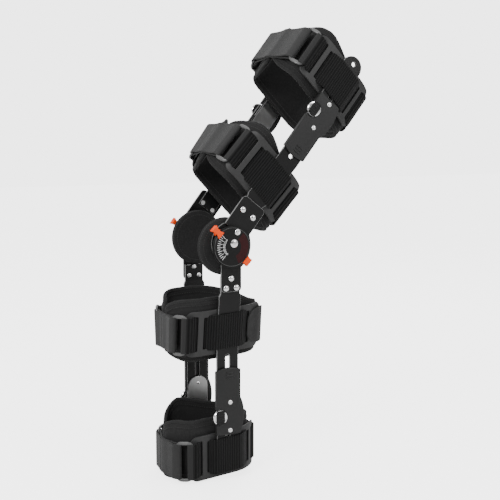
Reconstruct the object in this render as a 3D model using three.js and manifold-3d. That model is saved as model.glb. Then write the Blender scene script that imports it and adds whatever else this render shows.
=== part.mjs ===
// A hinged knee brace, bent as it is worn on a left leg. Two side bars with dial hinges carry four padded
// cuffs. +X is the outer side of the leg, -Y its front and +Z up. The origin is the middle of the knee,
// on the pivots of the calf arms. Lengths are millimetres and angles degrees.
import * as THREE from 'three';
import { mergeVertices } from 'three/addons/utils/BufferGeometryUtils.js';
import Module from 'manifold-3d';

const wasm = await Module();
wasm.setup();

// Pose, fits and how finely round edges are divided
const FLEXION = 38.3;
const PIVOT_SPACING = 14.8;
const GAP = 0.4;
const OVERRUN = 9;
const SIDES = { lateral: 1, medial: -1 };
const SEGMENTS = { disc: 20, pad: 18, button: 12, head: 10, hole: 8 };

// Hinge, as distances from the middle of the knee outwards
const PAD = { inner: 47.5, outer: 57.6, radius: 36.5 };
const PAD_EDGE = [-90, -45, 0, 45, 90];
const ARM = { thick: 2.5, corner: 5 };
const CALF_ARM_X = 58.5;
const THIGH_ARM_X = CALF_ARM_X + ARM.thick + GAP;
const DIAL_X = THIGH_ARM_X + ARM.thick + GAP;
const DIAL = { boss: 19, bossTall: 2, rim: 26, rimTall: 2, face: 24.5, faceTall: 1.2 };
const PIN_RADIUS = 3.3;
const PIN_HOLE = 3.65;
const SCREW = { tall: 1.8, shoulder: 0.6, crown: 0.6, seat: 1 };
const PINS = [
  { z: 0, from: CALF_ARM_X + GAP, head: 5 },
  { z: PIVOT_SPACING, from: THIGH_ARM_X + GAP, head: 3.8 },
];
const STOP = { from: 24.9, waist: 10, neck: 8, flange: 14, flangeThick: 2.4, lip: 3, play: 0.3, edge: 0.7 };
const STOP_REACH = { extension: 35.5, flexion: 31 };

// Both hinges are the same part, turned round for the inner side of the leg: middles of pad and dial, and the
// angles of the stops, from the back upwards
const HINGES = {
  lateral: { pad: { y: -5.5, z: -4.5 }, dial: { y: -1, z: -4.8 }, extension: 136, flexion: -43 },
  medial: { pad: { y: 3.5, z: -4.5 }, dial: { y: 3.7, z: -3.2 }, extension: 142, flexion: -43 },
};

// Bars and slides
const BAR = { thick: 3, half: 15, neck: 13, shoulder: 4, end: 275 };
const BAR_TIP = [0, 30, 55, 75];
const SLOT = { from: 144, to: 256, half: 3, round: 2.99 };
const BAR_HOLES = [117.7, 265.5];
const TONGUE = { thick: 2, half: 14, above: 30, round: 13 };
const COVER = { thick: 3, half: 17, above: 64, below: 24, flare: 5, crown: 3.5 };
const RIVET = { spread: 18.5, radius: 2.4 };
const BUTTON = { radius: 9.6, y: -12.5, lift: 2.6, tall: 3.6, shoulder: 0.6, crown: 0.72 };

// Each limb runs away from its own pivot: heights are measured from there, and `up` is their direction.
// The bar stands at barX by the hinge and at outX in the slide, and slants between the two heights of `bend`.
const LIMBS = {
  thigh: {
    up: 1, armX: THIGH_ARM_X, armHalf: 18.3, head: 10.5, armEnd: 44, barFrom: 23.5, barX: 59.5, outX: 71.5,
    bend: [46, 112], button: 183, tongueEnd: 253,
  },
  calf: {
    up: -1, armX: CALF_ARM_X, armHalf: 14, head: 27, armEnd: 62, barFrom: 42, barX: 56.6, outX: 48,
    bend: [64, 134], button: 225, tongueEnd: 295,
  },
};

// Cuffs: the strap's middle and the liner's ends as heights on the limb, then the plan of the wall: how far
// its front corners, its nose and its back stand from the bar. `shift` moves plates and rings to the back.
// `tilt` is how much further from the knee the cuff stands for each millimetre forwards. The liner's front
// ends are rounded over the length `round`, down to the share `tip` of its height, and at the back its two
// edges dip to the shares `backLow` and `backHigh`.
const CUFFS = [
  {
    name: 'thigh_upper', limb: 'thigh', slides: true, strap: 234, low: 195, high: 277,
    corner: 60, nose: 73, back: 60, shift: 2, tilt: 0.14, round: 46, tip: 0.54, backLow: 1, backHigh: 0.6,
  },
  {
    name: 'thigh_lower', limb: 'thigh', slides: false, strap: 77, low: 40, high: 121,
    corner: 57, nose: 73, back: 57, shift: -2, tilt: 0.16, round: 34, tip: 0.68, backLow: 1, backHigh: 0.6,
  },
  {
    name: 'calf_upper', limb: 'calf', slides: false, strap: 113, low: 68, high: 151,
    corner: 53, nose: 66, back: 60, shift: 3.5, tilt: 0.06, round: 46, tip: 0.56, backLow: 0.6, backHigh: 1,
  },
  {
    name: 'calf_lower', limb: 'calf', slides: true, strap: 276, low: 227, high: 303,
    corner: 52, nose: 71, back: 51, shift: 10, tilt: 0.08, round: 24, tip: 0.7, backLow: 0.8, backHigh: 0.8,
  },
];
const CORNER = { nose: 26, front: 26, back: 38 };
const CORNER_TURNS = [0, 45, 90];
const ARC_STEP = 20;
const BEND_EASE = 0.6;

// Layers of a cuff as heights above its wall, and lengths along the wall from the bar's middle, front first
const LINER = { outer: -2.9, thick: 8, endGap: 4, dip: 105 };
const LINER_TURNS = [0, 30, 60, 90];
const LINER_DIP = [0, 0.25, 0.5, 0.75, 1];
const PLATE = { inner: 0.1, outer: 2.6, half: 29.5, corner: 9, from: -58, to: 46 };
const WINDOWS = [
  { from: -50, to: -43 },
  { from: -36, to: 27 },
  { from: 33, to: 40 },
];
const WINDOW_EASE = 0.6;
const WEB = { half: 23, thick: 1.7, under: -1.3, gap: 0.38 };
const RING = { rear: -56.5, front: -71.5, barHalf: 2, level: 6.5, thickHalf: 1.5, half: 26.5, corner: 7 };
const FRONT_STRAP = { inner: 0.95, outer: 2.95, tailShare: 0.12, landing: 20, tailGap: 4 };

const FINISH = {
  metal: { color: 0x202123, roughness: 0.38, metalness: 0.8 },
  bare: { color: 0x9a9c9e, roughness: 0.35, metalness: 1 },
  moulded: { color: 0x2b2b2d, roughness: 0.5, metalness: 0 },
  plate: { color: 0x3a3a3c, roughness: 0.6, metalness: 0 },
  ring: { color: 0x4c4c4e, roughness: 0.45, metalness: 0 },
  velour: { color: 0x19191b, roughness: 0.95, metalness: 0 },
  webbing: { color: 0x1c1c1e, roughness: 0.85, metalness: 0 },
  strap: { color: 0x3b3b3d, roughness: 0.9, metalness: 0 },
  orange: { color: 0xe8501f, roughness: 0.4, metalness: 0 },
};

const degrees = THREE.MathUtils.degToRad;
const brace = new THREE.Group();
const thigh = new THREE.Group();
const calf = new THREE.Group();
const bridge = new THREE.Group();
const halfTurn = degrees(FLEXION / 2);
thigh.position.set(0, PIVOT_SPACING * Math.sin(halfTurn), PIVOT_SPACING * Math.cos(halfTurn));
thigh.rotation.x = -2 * halfTurn;
bridge.rotation.x = -halfTurn;
brace.add(thigh, calf, bridge);
const GROUPS = { thigh, calf, bridge };

// Solids

function outward(geometry) {
  const p = geometry.attributes.position;
  const index = geometry.index.array;
  const a = new THREE.Vector3();
  const b = new THREE.Vector3();
  const c = new THREE.Vector3();
  let volume = 0;
  for (let i = 0; i < index.length; i += 3) {
    a.fromBufferAttribute(p, index[i]);
    b.fromBufferAttribute(p, index[i + 1]);
    c.fromBufferAttribute(p, index[i + 2]);
    volume += a.dot(b.cross(c));
  }
  if (volume < 0) {
    for (let i = 0; i < index.length; i += 3) {
      [index[i + 1], index[i + 2]] = [index[i + 2], index[i + 1]];
    }
  }
  return geometry;
}

function welded(geometry) {
  const bare = geometry.clone();
  bare.deleteAttribute('normal');
  bare.deleteAttribute('uv');
  return mergeVertices(bare, 1e-4);
}

function toSolid(geometry) {
  const { attributes, index } = welded(geometry);
  const vertProperties = new Float32Array(attributes.position.array);
  const triVerts = new Uint32Array(index.array);
  return new wasm.Manifold(new wasm.Mesh({ numProp: 3, vertProperties, triVerts }));
}

function fromSolid(solid) {
  const { vertProperties, triVerts } = solid.getMesh();
  const geometry = new THREE.BufferGeometry();
  geometry.setAttribute('position', new THREE.BufferAttribute(vertProperties, 3));
  geometry.setIndex(new THREE.BufferAttribute(triVerts, 1));
  return geometry;
}

const cut = (body, tools) =>
  fromSolid(tools.map(toSolid).reduce((left, tool) => left.subtract(tool), toSolid(body)));
const join = (pieces) => fromSolid(pieces.map(toSolid).reduce((all, piece) => all.add(piece)));

function mirrored(geometry, side) {
  const copy = geometry.clone();
  copy.scale(side, 1, 1);
  return outward(copy);
}

// A skin through rings of points, closed by a flat cap at each end
function loft(rings) {
  const count = rings[0].length;
  const index = [];
  for (let i = 0; i + 1 < rings.length; i += 1) {
    for (let j = 0; j < count; j += 1) {
      const a = i * count + j;
      const b = i * count + (j + 1) % count;
      index.push(a, b, b + count, a, b + count, a + count);
    }
  }
  const last = (rings.length - 1) * count;
  for (let j = 1; j + 1 < count; j += 1) {
    index.push(0, j + 1, j, last, last + j, last + j + 1);
  }
  const geometry = new THREE.BufferGeometry().setFromPoints(rings.flat());
  geometry.setIndex(index);
  return outward(geometry);
}

// A flat shape drawn in (y, height), as thick as the range of x, on one side of a limb
function slab(shape, xFrom, xTo, side, up = 1, curveSegments = 3) {
  const flat = new THREE.ExtrudeGeometry(shape, { depth: xTo - xFrom, bevelEnabled: false, curveSegments });
  const geometry = welded(flat);
  const p = geometry.attributes.position;
  for (let i = 0; i < p.count; i += 1) {
    p.setXYZ(i, side * (xFrom + p.getZ(i)), p.getX(i), up * p.getY(i));
  }
  return outward(geometry);
}

// A turned piece round an axis along x: the profile lists [radius, x], and the axis stands at (y, z)
function turned(profile, side, y, z, segments) {
  const outline = profile.map(([radius, x]) => new THREE.Vector2(radius, x));
  const geometry = welded(new THREE.LatheGeometry(outline, segments));
  const p = geometry.attributes.position;
  for (let i = 0; i < p.count; i += 1) {
    p.setXYZ(i, side * p.getY(i), y + p.getX(i), z + p.getZ(i));
  }
  return outward(geometry);
}

const peg = (radius, xFrom, xTo, side, y, z, segments) =>
  turned([[0, xFrom], [radius, xFrom], [radius, xTo], [0, xTo]], side, y, z, segments);

function roundedRect(width, low, high, radius) {
  const shape = new THREE.Shape();
  shape.absarc(width - radius, low + radius, radius, -Math.PI / 2, 0);
  shape.absarc(width - radius, high - radius, radius, 0, Math.PI / 2);
  shape.absarc(radius - width, high - radius, radius, Math.PI / 2, Math.PI);
  shape.absarc(radius - width, low + radius, radius, Math.PI, Math.PI * 1.5);
  return shape;
}

function add(group, name, geometry, finish) {
  const mesh = new THREE.Mesh(geometry, new THREE.MeshStandardMaterial(FINISH[finish]));
  mesh.name = name;
  GROUPS[group].add(mesh);
}

// Bars

// Middle of the bar's thickness: straight at the hinge, slanting along the leg, then straight in the slide
function barX(limb, height) {
  const [from, to] = limb.bend;
  const share = THREE.MathUtils.clamp((height - from) / (to - from), 0, 1);
  return THREE.MathUtils.lerp(limb.barX, limb.outX, share);
}

function bar(limb, side) {
  const [bendFrom, bendTo] = limb.bend;
  const tip = BAR_TIP.map(degrees);
  const stations = [
    { height: limb.barFrom, wide: BAR.neck },
    { height: bendFrom, wide: BAR.neck },
    { height: bendFrom + BAR.shoulder, wide: BAR.half },
    { height: bendTo, wide: BAR.half },
    ...tip.map((angle) => ({
      height: BAR.end - BAR.half * (1 - Math.sin(angle)),
      wide: BAR.half * Math.cos(angle),
    })),
  ];
  const strip = loft(stations.map(({ height, wide }) => {
    const x = barX(limb, height);
    return [[-1, -1], [-1, 1], [1, 1], [1, -1]].map(([across, through]) => new THREE.Vector3(
      side * (x + through * BAR.thick / 2), across * wide, limb.up * height));
  }));
  const x = [limb.outX - BAR.thick, limb.outX + BAR.thick];
  const slot = slab(roundedRect(SLOT.half, SLOT.from, SLOT.to, SLOT.round), ...x, side, limb.up);
  const holes = BAR_HOLES.map((height) => peg(SLOT.half, ...x, side, 0, limb.up * height, SEGMENTS.hole));
  return cut(strip, [slot, ...holes]);
}

// The arm of a hinge: a round head on its pivot, and a strap as wide as the bar that it is riveted to
function arm(limb, side) {
  const { head, armHalf, armEnd } = limb;
  const { corner, thick } = ARM;
  const from = Math.asin(Math.min(1, armHalf / head));
  const shape = new THREE.Shape();
  if (armHalf > head) {
    shape.moveTo(-armHalf, 0);
  }
  shape.absarc(0, 0, head, Math.PI / 2 + from, Math.PI * 2.5 - from);
  if (armHalf > head) {
    shape.lineTo(armHalf, 0);
  }
  shape.absarc(armHalf - corner, armEnd - corner, corner, 0, Math.PI / 2);
  shape.absarc(corner - armHalf, armEnd - corner, corner, Math.PI / 2, Math.PI);
  shape.holes.push(new THREE.Path().absarc(0, 0, PIN_HOLE, 0, Math.PI * 2, true));
  return slab(shape, limb.armX, limb.armX + thick, side, limb.up, 4);
}

// Slides

function tongue(limb, side) {
  const inner = limb.outX - BAR.thick / 2 - GAP - TONGUE.thick;
  const shape = roundedRect(TONGUE.half, limb.button - TONGUE.above, limb.tongueEnd, TONGUE.round);
  const blade = slab(shape, inner, inner + TONGUE.thick, side, limb.up);
  const reach = limb.outX + BAR.thick / 2;
  const rivets = [-1, 1].map((way) => peg(RIVET.radius, inner + TONGUE.thick / 2, reach, side, 0,
    limb.up * (limb.button + way * RIVET.spread), SEGMENTS.hole));
  return join([blade, ...rivets]);
}

function cover(limb, side) {
  const { button, up, outX } = limb;
  const low = button - COVER.above;
  const high = button + COVER.below;
  const shape = new THREE.Shape();
  shape.moveTo(-COVER.half, low + COVER.crown);
  shape.quadraticCurveTo(0, low - COVER.crown, COVER.half, low + COVER.crown);
  shape.lineTo(COVER.half, button - COVER.below);
  shape.quadraticCurveTo(COVER.half + 2 * COVER.flare, button - COVER.flare, COVER.half, high);
  shape.lineTo(-COVER.half, high);
  const floor = outX + BAR.thick / 2 + GAP;
  const body = slab(shape, outX - BAR.thick / 2, floor + COVER.thick, side, up, 6);
  const wide = BAR.half + GAP;
  const channel = new THREE.Shape([
    new THREE.Vector2(-wide, low - OVERRUN),
    new THREE.Vector2(wide, low - OVERRUN),
    new THREE.Vector2(wide, high + OVERRUN),
    new THREE.Vector2(-wide, high + OVERRUN),
  ]);
  const well = peg(BUTTON.radius + GAP, outX - OVERRUN, floor + OVERRUN, side, BUTTON.y, up * button,
    SEGMENTS.button);
  return cut(body, [slab(channel, outX - OVERRUN, floor, side, up), well]);
}

function pushButton(limb, side) {
  const { radius, tall, shoulder, crown } = BUTTON;
  const foot = limb.outX + BAR.thick / 2 + BUTTON.lift;
  const profile = [[0, foot], [radius, foot], [radius, foot + tall * shoulder], [radius * crown, foot + tall],
    [0, foot + tall]];
  return turned(profile, side, BUTTON.y, limb.up * limb.button, SEGMENTS.button);
}

// Hinges

function dial(side, { y, z: middle }) {
  const rim = DIAL_X + DIAL.bossTall;
  const step = rim + DIAL.rimTall;
  const face = step + DIAL.faceTall;
  const disc = turned([[0, DIAL_X], [DIAL.boss, DIAL_X], [DIAL.boss, rim], [DIAL.rim, rim], [DIAL.rim, step],
    [DIAL.face, step], [DIAL.face, face], [0, face]], side, y, middle, SEGMENTS.disc);
  const stems = PINS.map(({ z, from }) => peg(PIN_RADIUS, from, step, side, 0, z, SEGMENTS.head));
  const seat = face - SCREW.seat;
  const crown = face + SCREW.tall;
  const screws = PINS.map(({ z, head }) => turned([[0, seat], [head, seat], [head, face + SCREW.shoulder],
    [head * SCREW.crown, crown], [0, crown]], side, 0, z, SEGMENTS.head));
  return join([disc, ...stems, ...screws]);
}

function condylePad(side, { y, z }) {
  const { inner, outer, radius } = PAD;
  const round = (outer - inner) / 2;
  const edge = PAD_EDGE.map(degrees).map((angle) =>
    [radius - round + round * Math.cos(angle), inner + round + round * Math.sin(angle)]);
  return turned([[0, inner], ...edge, [0, outer]], side, y, z, SEGMENTS.pad);
}

// A stop grips the rim of the dial between two jaws, and ends in a flange to pull it by
function stop(side, { y, z }, angle, reach) {
  const { from, waist, neck, flange, flangeThick, lip, play, edge } = STOP;
  const rimFrom = DIAL_X + DIAL.bossTall - play;
  const rimTo = DIAL_X + DIAL.bossTall + DIAL.rimTall + play;
  const outer = rimTo + lip;
  const blocks = [
    { low: from, high: reach - edge, wide: waist, x: [rimTo, outer] },
    { low: from, high: reach - edge, wide: waist, x: [DIAL_X, rimFrom] },
    { low: DIAL.rim + GAP, high: reach - edge, wide: neck, x: [DIAL_X + play, outer - play] },
    { low: reach - flangeThick, high: reach, wide: flange, x: [DIAL_X, outer + play] },
  ];
  const body = join(blocks.map(({ low, high, wide, x }) =>
    slab(roundedRect(wide / 2, low, high, edge), ...x, side, 1, 1)));
  body.rotateX(degrees(angle) + halfTurn - Math.PI / 2);
  body.translate(0, y, z);
  return body;
}

// Cuffs

// Distance of the wall from the middle of the leg, under the bar: plate, tongue and bar are stacked on it
function wallX(cuff, height) {
  const limb = LIMBS[cuff.limb];
  const [from, to] = limb.bend;
  const slope = (limb.outX - limb.barX) / (to - from);
  const stack = BAR.thick / 2 + GAP + PLATE.outer;
  return cuff.slides ? limb.outX - stack - TONGUE.thick - GAP : limb.barX + slope * (height - from) - stack;
}

// The wall of a cuff. Its plan is a path of lines and arcs from the nose to the middle of the back, mirrored
// on the far side. `along` is the length on that path, negative on the far side.
class Wall {
  constructor(cuff) {
    this.cuff = cuff;
    this.width = wallX(cuff, cuff.strap);
    const slant = Math.atan2(cuff.nose - cuff.corner, this.width);
    const turnFrom = slant - Math.PI / 2;
    const noseY = CORNER.nose / Math.cos(slant) - cuff.nose;
    const setback = CORNER.front * Math.tan(-turnFrom / 2);
    this.path = new THREE.Path();
    this.path.absarc(0, noseY, CORNER.nose, -Math.PI / 2, turnFrom);
    this.path.absarc(this.width - CORNER.front, setback - cuff.corner, CORNER.front, turnFrom, 0);
    this.path.absarc(this.width - CORNER.back, cuff.back - CORNER.back, CORNER.back, 0, Math.PI / 2);
    this.path.lineTo(0, cuff.back);
    this.total = this.path.getLength();
    const behindBar = cuff.back - CORNER.back + CORNER.back * Math.PI / 2 + this.width - CORNER.back;
    this.bar = this.total - behindBar;
  }

  point(along, level, height) {
    const wrapped = along > this.total ? along - 2 * this.total : along;
    const share = Math.min(1, Math.abs(wrapped) / this.total);
    const p = this.path.getPoint(share);
    const t = this.path.getTangent(share);
    const y = p.y - t.x * level;
    const reach = height - this.cuff.tilt * y;
    const x = p.x * wallX(this.cuff, reach) / this.width + t.y * level;
    return new THREE.Vector3(wrapped < 0 ? -x : x, y, LIMBS[this.cuff.limb].up * reach);
  }

  // Lengths between two places where the wall bends, close together on its arcs
  bends(from, to) {
    const found = [];
    let start = 0;
    for (const curve of this.path.curves) {
      const length = curve.getLength();
      const turn = curve.isEllipseCurve ? Math.abs(curve.aEndAngle - curve.aStartAngle) : 0;
      const steps = Math.max(1, Math.ceil(turn / degrees(ARC_STEP)));
      for (let i = 0; i <= steps; i += 1) {
        const at = start + length * i / steps;
        found.push(at, -at, 2 * this.total - at);
      }
      start += length;
    }
    const low = Math.min(from, to) + BEND_EASE;
    const high = Math.max(from, to) - BEND_EASE;
    const between = found.filter((at) => at > low && at < high).sort((a, b) => a - b)
      .filter((at, i, all) => i === 0 || at - all[i - 1] > BEND_EASE);
    return from < to ? between : between.reverse();
  }

  // Four corners of a piece at one place: between two heights and two levels
  section(along, [low, high], [inner, outer]) {
    return [[low, inner], [low, outer], [high, outer], [high, inner]]
      .map(([height, level]) => this.point(along, level, height));
  }

  // A piece of even thickness from one place on the wall to another, with rounded corners
  panel({ from, to, half, corner, inner, outer }) {
    const turns = corner > 0 ? CORNER_TURNS : CORNER_TURNS.slice(-1);
    const rounds = turns.map(degrees).map((angle) => ({
      inset: corner * (1 - Math.cos(angle)),
      drop: corner * (1 - Math.sin(angle)),
    }));
    const front = rounds.map(({ inset, drop }) => ({ along: from + inset, drop }));
    const rear = rounds.map(({ inset, drop }) => ({ along: to - inset, drop })).reverse();
    const middle = this.bends(from + corner, to - corner).map((along) => ({ along, drop: 0 }));
    const { strap } = this.cuff;
    return loft([...front, ...middle, ...rear].map(({ along, drop }) =>
      this.section(along, [strap - half + drop, strap + half - drop], [inner, outer])));
  }

  // A strap laid along [place, level] points, following the wall's bends between them
  strap(points, thick, half) {
    const route = [];
    points.forEach(([along, level], i) => {
      if (i > 0) {
        const [lastAlong, lastLevel] = points[i - 1];
        for (const at of this.bends(lastAlong, along)) {
          const share = (at - lastAlong) / (along - lastAlong);
          route.push(new THREE.Vector2(at, THREE.MathUtils.lerp(lastLevel, level, share)));
        }
      }
      route.push(new THREE.Vector2(along, level));
    });
    const { strap } = this.cuff;
    return loft(route.map((at, i) => {
      const before = route[Math.max(0, i - 1)];
      const after = route[Math.min(route.length - 1, i + 1)];
      const across = after.clone().sub(before).normalize().rotateAround(new THREE.Vector2(), Math.PI / 2);
      const [left, right] = [1, -1].map((way) => at.clone().addScaledVector(across, way * thick / 2));
      return [[left, -1], [left, 1], [right, 1], [right, -1]].map(([edge, way]) =>
        this.point(edge.x, edge.y, strap + way * half));
    }));
  }
}

// A strap's way round one bar of a ring, from the outer layer to the inner one; `way` is towards the opening
function loopRound(ring, way) {
  const { level, thickHalf, barHalf } = RING;
  const off = WEB.gap + WEB.thick / 2;
  const deep = thickHalf + off;
  const wide = barHalf + off;
  const turn = [
    { along: -0.9, rise: 1 },
    { along: 0.5, rise: 1 },
    { along: 0.9, rise: 0.82 },
    { along: 1, rise: 0.45 },
    { along: 1, rise: -0.45 },
    { along: 0.9, rise: -0.82 },
    { along: 0.5, rise: -1 },
    { along: -0.4, rise: -1 },
  ];
  return turn.map(({ along, rise }) => [ring + way * along * wide, level + rise * deep]);
}

// A padded shell round the leg, open at the nose
function liner(wall) {
  const { low, high, strap, round, tip, backLow, backHigh } = wall.cuff;
  const { outer, thick, endGap, dip } = LINER;
  const end = 2 * wall.total - endGap;
  const tall = (along, backShare) => {
    const fromTip = THREE.MathUtils.clamp(Math.min(along - endGap, end - along) / round, 0, 1);
    const front = THREE.MathUtils.lerp(tip, 1, Math.sqrt(1 - (1 - fromTip) ** 2));
    const fromBack = THREE.MathUtils.smoothstep(Math.abs(along - wall.total), 0, dip);
    return Math.min(front, THREE.MathUtils.lerp(backShare, 1, fromBack));
  };
  const lateral = [
    ...LINER_TURNS.map(degrees).map((angle) => endGap + round * (1 - Math.cos(angle))),
    ...wall.bends(endGap, wall.total),
    ...LINER_DIP.map((share) => wall.total - dip * share),
  ].sort((a, b) => a - b).filter((along, i, all) => i === 0 || along - all[i - 1] > 2 * BEND_EASE);
  const before = lateral.filter((along) => along < wall.total);
  const medial = before.map((along) => 2 * wall.total - along).reverse();
  return loft([...lateral, ...medial].map((along) => wall.section(along,
    [strap - (strap - low) * tall(along, backLow), strap + (high - strap) * tall(along, backHigh)],
    [outer - thick, outer])));
}

function plate(wall, side) {
  const middle = wall.bar + wall.cuff.shift;
  const { from, to, half, corner, inner, outer } = PLATE;
  const body = wall.panel({ from: middle + from, to: middle + to, half, corner, inner, outer });
  const holes = WINDOWS.map((hole) => wall.panel({
    from: middle + hole.from,
    to: middle + hole.to,
    half: WEB.half + WINDOW_EASE,
    corner: 0,
    inner: inner - OVERRUN,
    outer: outer + OVERRUN,
  }));
  return mirrored(cut(body, holes), side);
}

function ring(wall, side) {
  const { rear, front, barHalf, level, thickHalf, half, corner } = RING;
  const middle = wall.bar + wall.cuff.shift;
  const body = wall.panel({
    from: middle + front - barHalf,
    to: middle + rear + barHalf,
    half,
    corner,
    inner: level - thickHalf,
    outer: level + thickHalf,
  });
  const hole = wall.panel({
    from: middle + front + barHalf,
    to: middle + rear - barHalf,
    half: WEB.half + WINDOW_EASE,
    corner: 0,
    inner: level - OVERRUN,
    outer: level + OVERRUN,
  });
  return mirrored(cut(body, [hole]), side);
}

// From the lateral ring through the plate, over the bar, under the plate and out over its end, round the
// back, and the same on the medial side
function webbing(wall) {
  const { shift, slides } = wall.cuff;
  const off = WEB.gap + WEB.thick / 2;
  const overPlate = PLATE.outer + 2 * GAP + WEB.thick / 2;
  const over = PLATE.outer + GAP + BAR.thick + (slides ? TONGUE.thick + GAP : 0) + GAP + WEB.thick / 2;
  const [slot, window, rear] = WINDOWS;
  const barFront = -BAR.half - shift;
  const barRear = BAR.half - shift;
  const weave = [
    ...loopRound(RING.rear, -1).reverse(),
    [slot.from - 1.2, 7],
    [slot.from + 1.4, 4.6],
    [slot.from + 3.2, 2.1],
    [slot.from + 4.9, 0],
    [slot.to - 0.5, -1.1],
    [slot.to + 0.3, WEB.under],
    [window.from - 0.5, WEB.under],
    [window.from + 1.2, WEB.under + 0.15],
    [barFront - 3.5, over - 0.5],
    [barFront - 0.5, over],
    [barRear + 0.5, over],
    [barRear + 3.5, over - 0.5],
    [window.to - 1.2, WEB.under + 0.15],
    [window.to + 0.4, WEB.under],
    [rear.from + 0.6, WEB.under],
    [rear.to - 0.4, overPlate],
    [PLATE.to + 0.8, overPlate],
    [PLATE.to + 6, WEB.under],
  ].map(([place, level]) => [wall.bar + shift + place, level]);
  const back = weave.map(([along, level]) => [2 * wall.total - along, level]).reverse();
  return wall.strap([...weave, ...back], WEB.thick, WEB.half);
}

// A tail that ends on the medial half runs to the lateral ring, folds round it and returns to the medial ring
function frontStrap(wall) {
  const place = wall.bar + wall.cuff.shift + RING.front;
  const { inner, outer, tailShare, landing, tailGap } = FRONT_STRAP;
  const near = loopRound(place, 1);
  const far = near.map(([along, level]) => [-along, level]).reverse();
  const points = [
    [-place * tailShare, outer],
    [place - landing, outer],
    ...near,
    [place - landing, inner],
    [landing - place, inner],
    ...far,
    [landing - place, outer],
    [-place * tailShare - tailGap, outer],
  ];
  return wall.strap(points, WEB.thick, WEB.half);
}

// Assembly

for (const [limbName, limb] of Object.entries(LIMBS)) {
  for (const [sideName, side] of Object.entries(SIDES)) {
    add(limbName, `${limbName}_arm_${sideName}`, arm(limb, side), 'metal');
    add(limbName, `${limbName}_bar_${sideName}`, bar(limb, side), 'metal');
    add(limbName, `${limbName}_tongue_${sideName}`, tongue(limb, side), 'bare');
    add(limbName, `${limbName}_cover_${sideName}`, cover(limb, side), 'moulded');
    add(limbName, `${limbName}_button_${sideName}`, pushButton(limb, side), 'bare');
  }
}
for (const [sideName, side] of Object.entries(SIDES)) {
  const hinge = HINGES[sideName];
  add('bridge', `dial_${sideName}`, dial(side, hinge.dial), 'moulded');
  add('calf', `condyle_pad_${sideName}`, condylePad(side, hinge.pad), 'velour');
  for (const [stopName, reach] of Object.entries(STOP_REACH)) {
    add('bridge', `${stopName}_stop_${sideName}`, stop(side, hinge.dial, hinge[stopName], reach), 'orange');
  }
}
for (const cuff of CUFFS) {
  const wall = new Wall(cuff);
  add(cuff.limb, `${cuff.name}_liner`, liner(wall), 'velour');
  add(cuff.limb, `${cuff.name}_webbing`, webbing(wall), 'webbing');
  add(cuff.limb, `${cuff.name}_front_strap`, frontStrap(wall), 'strap');
  for (const [sideName, side] of Object.entries(SIDES)) {
    add(cuff.limb, `${cuff.name}_plate_${sideName}`, plate(wall, side), 'plate');
    add(cuff.limb, `${cuff.name}_ring_${sideName}`, ring(wall, side), 'ring');
  }
}

export default brace;
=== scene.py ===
# %% [markdown]
# # A hinged knee brace
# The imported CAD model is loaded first, as a frame that never moves. Each cell below makes one kind of piece
# of the brace from a formula, lays it where the CAD solid stands, and hands it to the body it moves with.

# %% Load the frame
import math

import bmesh
import bpy
import numpy as np
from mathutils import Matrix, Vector


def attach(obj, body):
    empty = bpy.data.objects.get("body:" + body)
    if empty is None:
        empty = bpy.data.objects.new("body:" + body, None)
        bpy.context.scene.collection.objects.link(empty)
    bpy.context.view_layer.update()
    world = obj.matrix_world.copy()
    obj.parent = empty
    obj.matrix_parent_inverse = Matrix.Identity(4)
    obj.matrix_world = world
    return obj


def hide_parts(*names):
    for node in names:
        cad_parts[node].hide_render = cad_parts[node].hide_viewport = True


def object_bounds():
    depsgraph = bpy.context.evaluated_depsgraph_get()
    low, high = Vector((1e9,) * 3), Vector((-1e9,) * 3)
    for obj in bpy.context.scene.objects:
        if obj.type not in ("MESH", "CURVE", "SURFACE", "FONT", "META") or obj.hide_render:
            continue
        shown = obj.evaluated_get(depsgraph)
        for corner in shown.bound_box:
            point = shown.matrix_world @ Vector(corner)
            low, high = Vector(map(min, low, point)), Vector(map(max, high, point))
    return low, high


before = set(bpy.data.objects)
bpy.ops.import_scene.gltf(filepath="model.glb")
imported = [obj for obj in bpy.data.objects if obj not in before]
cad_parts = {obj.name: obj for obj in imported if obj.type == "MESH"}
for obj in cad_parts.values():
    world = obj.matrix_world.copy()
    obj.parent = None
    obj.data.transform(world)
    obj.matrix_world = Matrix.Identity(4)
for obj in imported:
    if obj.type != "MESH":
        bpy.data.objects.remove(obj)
cad_box = [list(corner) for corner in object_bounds()]
print("CAD box", cad_box)

# %% [markdown]
# ## Where things stand
# The calf hangs straight down from the origin, the thigh leans back from the upper pivots, and the dial lies
# between them at half the angle. Every piece is worked out in millimetres on its own limb, as the drawing is,
# and one turn about the x axis then brings it to its place in metres.

# %% Limb frames
MM = 0.001
FLEXION = math.radians(38.3)
PIVOT_SPACING = 14.8
SIDES = {"lateral": 1, "medial": -1}
TURNS = {"calf": 0, "bridge": FLEXION / 2, "thigh": FLEXION}


def in_place(limb, points):
    """Limb millimetres to metres: y and z turn by the limb's angle, and the thigh moves to its pivot."""
    turn = TURNS[limb]
    x, y, z = np.moveaxis(np.asarray(points, float), -1, 0)
    back = y * math.cos(turn) + z * math.sin(turn)
    up = z * math.cos(turn) - y * math.sin(turn)
    if limb == "thigh":
        back = back + PIVOT_SPACING * math.sin(FLEXION / 2)
        up = up + PIVOT_SPACING * math.cos(FLEXION / 2)
    return np.stack([x, back, up], -1) * MM


print("upper pivot", in_place("thigh", [0, 0, 0]))

# %% [markdown]
# ## A piece from arrays
# A grid of points becomes a skin of four-sided faces. Where a piece is round, its last column joins its first,
# and where a grid shrinks to a point or doubles back on itself, the doubles are merged, so every seam closes.
# The attribute `lay` keeps the place on the cloth in metres, so a weave can follow a strap round its bends.

# %% Mesh helpers


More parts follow.
